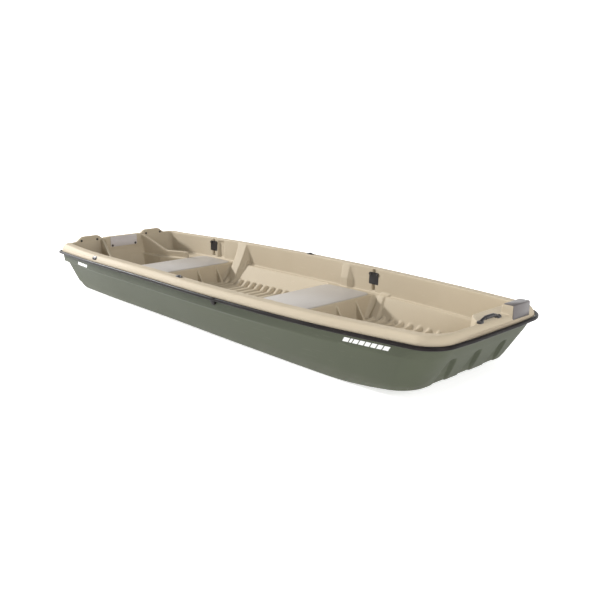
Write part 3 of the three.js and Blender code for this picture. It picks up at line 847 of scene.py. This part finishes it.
# a domed bolt head on a washer at each point, turned to the point's facing
def boltTree():
    tree, given, out = openTree("bolt heads", [
        ("Head Radius", "Float", .006), ("Head Height", "Float", .004), ("Seed", "Int", 3)])
    radius, height = given["Head Radius"], given["Head Height"]
    wide = times(tree, radius, 1.45)
    washer = addNode(tree, "GeometryNodeMeshCylinder", {"Radius": wide}, Vertices=20, Depth=.0024)
    tip = times(tree, radius, 0.62)
    head = addNode(tree, "GeometryNodeMeshCone",
                   {"Radius Bottom": radius, "Radius Top": tip, "Depth": height}, Vertices=16)
    slot = addNode(tree, "GeometryNodeMeshCube", {}, Size=(.0058, .0011, .0009))
    lift = addNode(tree, "ShaderNodeCombineXYZ", {"Z": height})
    place = addNode(tree, "GeometryNodeTransform", {"Geometry": slot, "Translation": lift})
    parts = tree.nodes.new("GeometryNodeJoinGeometry")
    for piece in (washer, head, place):
        tree.links.new(piece.outputs[0], parts.inputs[0])
    facing = addNode(tree, "GeometryNodeInputNamedAttribute", {}, data_type="FLOAT_VECTOR",
                     Name="facing")
    turn = addNode(tree, "FunctionNodeAlignRotationToVector", {"Vector": facing}, axis="Z")
    spin = addNode(tree, "FunctionNodeRandomValue", {"Seed": given["Seed"]}, data_type="FLOAT")
    spin.inputs[2].default_value = 0.0
    spin.inputs[3].default_value = 3.14
    spinXyz = addNode(tree, "ShaderNodeCombineXYZ", {"Z": spin.outputs[1]})
    local = addNode(tree, "FunctionNodeRotateRotation", {"Rotation": turn, "Rotate By": spinXyz},
                    rotation_space="LOCAL")
    heads = addNode(tree, "GeometryNodeInstanceOnPoints",
                    {"Points": given["Geometry"], "Instance": parts, "Rotation": local})
    return closeTree(tree, heads, given, out)


railNodes, boltNodes = railTree(), boltTree()


# rub rail, in two runs
def buildRail():
    b = boat
    d = b["railDepth"] / 2
    port = level(-b["length"] / 2 + d, b["length"] / 2 - d, wallAt(d), railZ, .042 - d, .146 - d)
    gap = b["railJoint"]

    def straight(end, hand, steps=26):
        ys = np.linspace(hand * end[1], -hand * end[1], steps)[1:-1]
        return [(end[0], y, end[2]) for y in ys]

    def joint(x):
        return np.array([[x, float(halfBeam(x)) - d, float(railZ(x))]])
    ahead = np.vstack([joint(gap + .001), port[port[:, 0] > gap + .004]])
    behind = np.vstack([port[port[:, 0] < gap - .004], joint(gap - .001)])
    flip = np.array([1, -1, 1])
    runs = {"rub_rail_bow": np.vstack([ahead, straight(port[-1], 1), (ahead * flip)[::-1]]),
            "rub_rail_stern": np.vstack([(behind * flip)[::-1], straight(port[0], -1), behind])}
    for name, line in runs.items():
        line = crown(line)
        mesh = bpy.data.meshes.new(name + "_body")
        mesh.from_pydata(line.tolist(), [(i, i + 1) for i in range(len(line) - 1)], [])
        obj = newObject(name + "_body", mesh)
        growWith(obj, railNodes, Depth=b["railDepth"] - .0004, Height=b["railHeight"],
                 Round=.0078, Material=railMaterial)
        flipIfInside(obj)
        finishPiece(obj, railMaterial, "rail", name)


buildRail()
print("rub rail made")

# bench covers
benchSizes = dict(half=0.474, thick=0.0052, corner=0.050, edge=0.003)


def buildBench(name, ends, kneeCut):
    b, s = boat, benchSizes
    x0, x1 = ends[0] + .008, ends[1] - .005
    cover = slab(name + "_cover", ((x0 + x1) / 2, 0, b["benchZ"] - .0006), (1, 0, 0), (0, 1, 0),
                 x1 - x0, 2 * s["half"], s["thick"], s["corner"], s["edge"])
    if kneeCut:
        k0, k1 = linerSizes["knee"]
        cuts = [pillar("cut", side, k0 - .006, k1 + .006, .18, .037) for side in (-1, 1)]
        combine(cover, cuts, "DIFFERENCE")
    shadeByAngle(cover, 50)
    finishPiece(cover, benchMaterial, "bench", name)


buildBench("bench_top_rear", boat["rearBench"], False)
buildBench("bench_top_middle", boat["middleBench"], True)
print("benches made")

# fittings on the walls and the transom
fittings = dict(strap=(0.085, 0.080), strapZ=0.292, plateHalf=0.122, plateZ=(0.283, 0.366),
                humpBolts=(0.228, 0.365), oarlockX=-0.090, badgeX=-1.145,
                badgeLean=0.60, bowPad=(0.158, 0.314))
boltSpots = []
bothSides = ((1, "port"), (-1, "starboard"))


def wallPoint(x, z):
    rise = float(gunwaleZ(x) - boat["benchZ"])
    return float(halfBeam(x)) - boat["innerEdge"] - .009 * (1 - (z - boat["benchZ"]) / rise)


def buildStraps():
    width, height = fittings["strap"]
    for place, x in (("rear", linerSizes["rodRear"]), ("middle", linerSizes["rodMiddle"])):
        for side, hand in bothSides:
            z = fittings["strapZ"]
            p0, p1 = wallPoint(x, z - .03), wallPoint(x, z + .03)
            up = Vector((0, side * (p1 - p0), .06)).normalized()
            slope = (float(halfBeam(x + .04)) - float(halfBeam(x - .04))) / .08
            right = Vector((-side, -slope, 0)).normalized()
            name = "rod_strap_%s_%s" % (place, hand)
            centre = Vector((x, side * (wallPoint(x, z) - .0004), z))
            body = slab(name + "_body", centre, right, up, width, height, .0052, .007, .0016)
            out = right.cross(up)
            ridge = slab("ridge", centre + out * .0050, right, up, width - .018, height - .018,
                         .0016, .004, .0008)
            shadeByAngle(joined(name + "_body", [body, ridge]), 40)
            finishPiece(body, trimMaterial, "trim", name)


def buildTransomPlates():
    low, high = fittings["plateZ"]
    inner = slab("transom_plate_inner_body", (boat["motorPadInner"] - .0004, 0, (low + high) / 2),
                 (0, 1, 0), (0, 0, 1), 2 * fittings["plateHalf"], high - low, .0042, .006, .001)
    finishPiece(shadeByAngle(inner), plateMaterial, "plate", "transom_plate_inner")
    outer = slab("transom_plate_outer_body", (boat["transomOuter"] + .0002, 0, .348),
                 (0, -1, 0), (0, 0, 1), 2 * fittings["plateHalf"], .036, .0052, .006, .001)
    finishPiece(shadeByAngle(outer), plateMaterial, "plate", "transom_plate_outer")
    for y in (-.106, .106):
        boltSpots.append(((boat["motorPadInner"] + .0042, y, low + .011), (1, 0, 0)))
        boltSpots.append(((boat["transomOuter"] - .0052, y, .342), (-1, 0, 0)))


# bow plate: a front leg and a top leg bent in one piece
def buildBowPlate():
    y0, y1 = fittings["bowPad"]

    def arc(x, z, radius, start, end, steps):
        return [(x - radius + radius * math.sin(a), z - radius + radius * math.cos(a))
                for a in np.radians(np.linspace(start, end, steps))]
    profile = [(1.7978, .331), (1.8022, .331), *arc(1.8022, .4080, .008, 90, 0, 7),
               (1.744, .4080), (1.744, .4038), *arc(1.7978, .4038, .004, 0, 90, 5)]
    profile = crown([(x, .2, z) for x, z in profile])[:, [0, 2]].tolist()
    plate = bevelled(across("bow_mount_plate_body", profile, y0, y1), .0012, 2)
    # the bow plate takes the wear plate copy that is painted dark as painted shade
    finishPiece(plate, shadedBowPlateMaterial, "plate", "bow_mount_plate")


def buildHandle(name, centre, along, up, half, rise, thick=1.0):
    centre, along, up = Vector(centre), Vector(along), Vector(up)
    knots = [(-half + .002, .006), (-half * .80, rise * .62), (-half * .55, rise * .92), (0, rise)]
    knots += [(-u, v) for u, v in knots[-2::-1]]
    steps = 61
    ts = np.linspace(0, len(knots) - 1, steps)
    a, h = (smoothRows([(k, p[axis]) for k, p in enumerate(knots)], 1)(ts) for axis in (0, 1))
    ribs = .0009 * (0.5 + 0.5 * np.cos(np.arange(steps) * 2.1))
    radii = np.where(np.abs(a) < half * .50, .0082 - ribs, .0058) * thick
    path = [centre + along * float(p) + up * float(q) for p, q in zip(a, h)]
    parts = [sweep(name + "_grip_body", path, radii)]
    for end in (-1, 1):
        foot = centre + along * (end * half)
        parts.append(slab("cap", foot - up * .0006, along.cross(up), along,
                          .026, .036, .011, .009, .004))
        boltSpots.append((tuple(foot + along * end * .009 + up * .0104), tuple(up)))
    shadeByAngle(joined(name + "_grip_body", parts), 45)
    finishPiece(parts[0], trimMaterial, "trim", name + "_grip")


def buildOarlocks():
    x = fittings["oarlockX"]
    for side, hand in bothSides:
        y = side * (float(halfBeam(x)) - boat["gunwaleSetIn"] - .033)
        z = float(gunwaleZ(x))
        base = slab("base", (x, y, z - .0008), (1, 0, 0), (0, 1, 0), .058, .027, .0048, .0132, .0016)
        ring = turned("ring", [(.0068, -.002), (.0128, -.002), (.0128, .0085), (.0112, .0105),
                               (.0082, .0105), (.0068, .0090)], (x, y, z), (0, 0, 1))
        pin = turned("well", [(0, -.002), (.0069, -.002), (.0069, .0046), (0, .0046)],
                     (x, y, z), (0, 0, 1))
        name = "oarlock_socket_" + hand
        shadeByAngle(joined(name + "_body", [base, ring, pin]), 40)
        finishPiece(base, trimMaterial, "trim", name)
        for dx in (-.0215, .0215):
            boltSpots.append(((x + dx, y, z + .0038), (0, 0, 1)))


def buildCoversAndBadges():
    x, b = boat["railJoint"], boat
    for side, hand in bothSides:
        beam = float(halfBeam(x))
        z = float(railZ(x)) + b["railHeight"] / 2
        rings = [[(x + dx, side * (beam + out - .010 + up * .25), z + up) for dx, up in (
            (-.024, 0), (.024, 0), (.024, -.022), (.008, -.046), (-.008, -.046), (-.024, -.022))]
            for out in (0, .0122)]
        cover = bevelled(loftSolid("rail_joint_%s_body" % hand, rings), .0022)
        finishPiece(cover, railMaterial, "rail", "rail_joint_" + hand)
        bx, lean = fittings["badgeX"], fittings["badgeLean"]
        face = float(halfBeam(bx)) - .0335
        normal = Vector((0, side * math.cos(lean), math.sin(lean)))
        up = Vector((0, -side * math.sin(lean), math.cos(lean)))
        right = up.cross(normal)
        spot = Vector((bx, side * face, float(railZ(bx)) + .031))
        oval = [slab("oval", spot - normal * .0006, right, up, .060, .028, .0062, .0138, .0016),
                slab("inset", spot + normal * .0052, right, up, .024, .008, .0012, .0074, .0006)]
        name = "side_badge_" + hand
        for o in oval:
            shadeByAngle(o, 40)
        finishPiece(oval[0], railMaterial, "trim", name)
        oval[1].name = name + "_inset"
        finishPiece(oval[1], plateMaterial, "plate")


def buildPlug():
    plug = turned("drain_plug_body", [(0, 0), (.0104, 0), (.0104, .016), (.016, .016), (.016, .0185),
                                      (.0145, .0200), (.0100, .0205), (.0085, .0250), (0, .0250)],
                  (-1.7145, 0, .030), (-1, 0, 0))
    finishPiece(plug, trimMaterial, "trim", "drain_plug")


buildStraps()
buildTransomPlates()
buildBowPlate()
buildHandle("bow_handle", (1.7655, -.003, float(gunwaleZ(1.76)) + .0006),
            (0, 1, 0), (0, 0, 1), .078, .019, 1.4)
for side, hand in bothSides:
    buildHandle("stern_handle_" + hand, (boat["transomOuter"] - .0015, side * .296, .343),
                (0, 1, 0), (-1, 0, 0), .062, .0135)
buildOarlocks()
buildCoversAndBadges()
buildPlug()
for side in (-1, 1):
    for y in fittings["humpBolts"]:
        boltSpots.append(((boat["transomInner"] + .0006, side * y, .358), (1, 0, 0)))
    for x in (linerSizes["rodRear"], linerSizes["rodMiddle"]):
        for dx in (-.033, .033):
            z = fittings["strapZ"] + .028
            boltSpots.append(((x + dx, side * (wallPoint(x + dx, z) - .0050), z), (0, -side, 0)))


def buildBolts():
    mesh = bpy.data.meshes.new("bolt_heads")
    mesh.from_pydata([p for p, _ in boltSpots], [], [])
    facing = mesh.attributes.new("facing", "FLOAT_VECTOR", "POINT")
    facing.data.foreach_set("vector", np.array([f for _, f in boltSpots], float).ravel())
    obj = newObject("bolt_heads", mesh)
    growWith(obj, boltNodes, Head_Radius=.0068, Head_Height=.0038, Seed=7, Material=boltMaterial)
    finishPiece(shadeByAngle(obj, 35), boltMaterial, "trim")


buildBolts()
print("fittings made:", len(boltSpots), "bolts")

# blank stripe marks on the side strip
stripeSizes = dict(lean=0.014, thick=0.0007, proud=0.0006)
stripeRows = {"bow_stripes": [(1.288, .033), (1.327, .014), (1.347, .028), (1.381, .028), (1.415, .028),
                              (1.449, .028), (1.483, .028), (1.517, .031)],
              "stern_stripes": [(-1.450, .014), (-1.428, .022), (-1.398, .022), (-1.368, .022),
                                (-1.338, .022), (-1.308, .022)]}
stripeHeights = {"bow_stripes": (.258, .280), "stern_stripes": (.243, .267)}


def sidePoint(x, z, out):
    share = np.clip((railZ(x) - .014 - z) / .052, 0, 1)
    edge = halfBeam(x) - boat["sideSetIn"]
    return float(edge - .001 - share * .02 * (edge - chine(x))) + out


def buildStripes():
    s = stripeSizes
    for label, row in stripeRows.items():
        z0, z1 = stripeHeights[label]
        parts = []
        for side in (-1, 1):
            for x, width in row:
                rings = []
                for out in (s["proud"], s["proud"] + s["thick"]):
                    corners = [(x, z0), (x + width, z0), (x + width + s["lean"], z1),
                               (x + s["lean"], z1)]
                    rings.append([(u, side * sidePoint(u, z, out), z) for u, z in corners])
                parts.append(loftSolid(label, rings))
        finishPiece(joined(label, parts), decalMaterial, "plate")


buildStripes()
print("stripes made")

# floor, light and camera
studio = dict(key=2750.0, fill=60.0, lift=65.0, sky=0.33, glow=0.66, sides=48)
# radius and height of the floor, which sweeps up far out to hide its rim
sweepRings = [(9.0, 0.0), (12.0, 0.25), (14.5, 1.0), (16.3, 2.4), (17.4, 4.4), (18.0, 7.0)]


def floorMaterial():
    material, tree, shader, place = newMaterial("pale studio floor")
    tone = groupNode(tree, toneGroup, Vector=place, Colour=(0.86, 0.86, 0.86, 1),
                     Worn_Colour=(0.82, 0.82, 0.82, 1), Cloud_Scale=0.6, Strength=0.25)
    tree.links.new(tone.outputs["Colour"], shader.inputs["Base Color"])
    shader.inputs["Roughness"].default_value = 0.9
    shader.inputs["Emission Color"].default_value = (1, 1, 1, 1)
    shader.inputs["Emission Strength"].default_value = studio["glow"]
    return material


def buildFloor():
    n = studio["sides"]
    turns = np.linspace(0, 2 * math.pi, n, endpoint=False)
    points = [(r * math.cos(a), r * math.sin(a), z) for r, z in sweepRings for a in turns]
    faces = [tuple(range(n))]
    for k in range(len(sweepRings) - 1):
        for i in range(n):
            j = (i + 1) % n
            faces.append((k * n + i, (k + 1) * n + i, (k + 1) * n + j, k * n + j))
    floor = meshObject("studio_floor", points, faces)
    floor.data.materials.append(floorMaterial())


buildFloor()


def areaLight(name, place, target, size, power):
    lamp = bpy.data.lights.new(name, "AREA")
    lamp.shape = "RECTANGLE"
    lamp.size, lamp.size_y = size
    lamp.energy = power
    obj = newObject(name, lamp)
    obj.location = place
    obj.rotation_euler = (Vector(target) - Vector(place)).to_track_quat("-Z", "Y").to_euler()


areaLight("key", (-12.0, -4.0, 6.0), (0, 0, 0.2), (1.3, 1.3), studio["key"])
areaLight("fill", (5.6, -1.2, 2.4), (1.2, 0, 0.2), (1.6, 1.2), studio["fill"])
areaLight("lift", (3.6, -0.6, 4.6), (-1.7, 0, 0.2), (2.0, 1.5), studio["lift"])
world = bpy.data.worlds.new("studio")
world.use_nodes = True
sky = world.node_tree.nodes["Background"]
sky.inputs["Color"].default_value = (1, 1, 1, 1)
sky.inputs["Strength"].default_value = studio["sky"]
bpy.context.scene.world = world

# the camera that was solved from the photo's lines
view = dict(place=(3.6149, -2.9939, 1.3160), tilt=75.691, turn=46.696, lens=43.22,
            sensor=36.0, shift=(-0.0064, 0.0028), reach=100)
camera = newObject("camera", bpy.data.cameras.new("camera"))
camera.location = view["place"]
camera.rotation_euler = (math.radians(view["tilt"]), 0, math.radians(view["turn"]))
camera.data.lens = view["lens"]
camera.data.sensor_width = view["sensor"]
camera.data.shift_x, camera.data.shift_y = view["shift"]
camera.data.clip_end = view["reach"]
bpy.context.scene.camera = camera
print("floor, light and camera made")
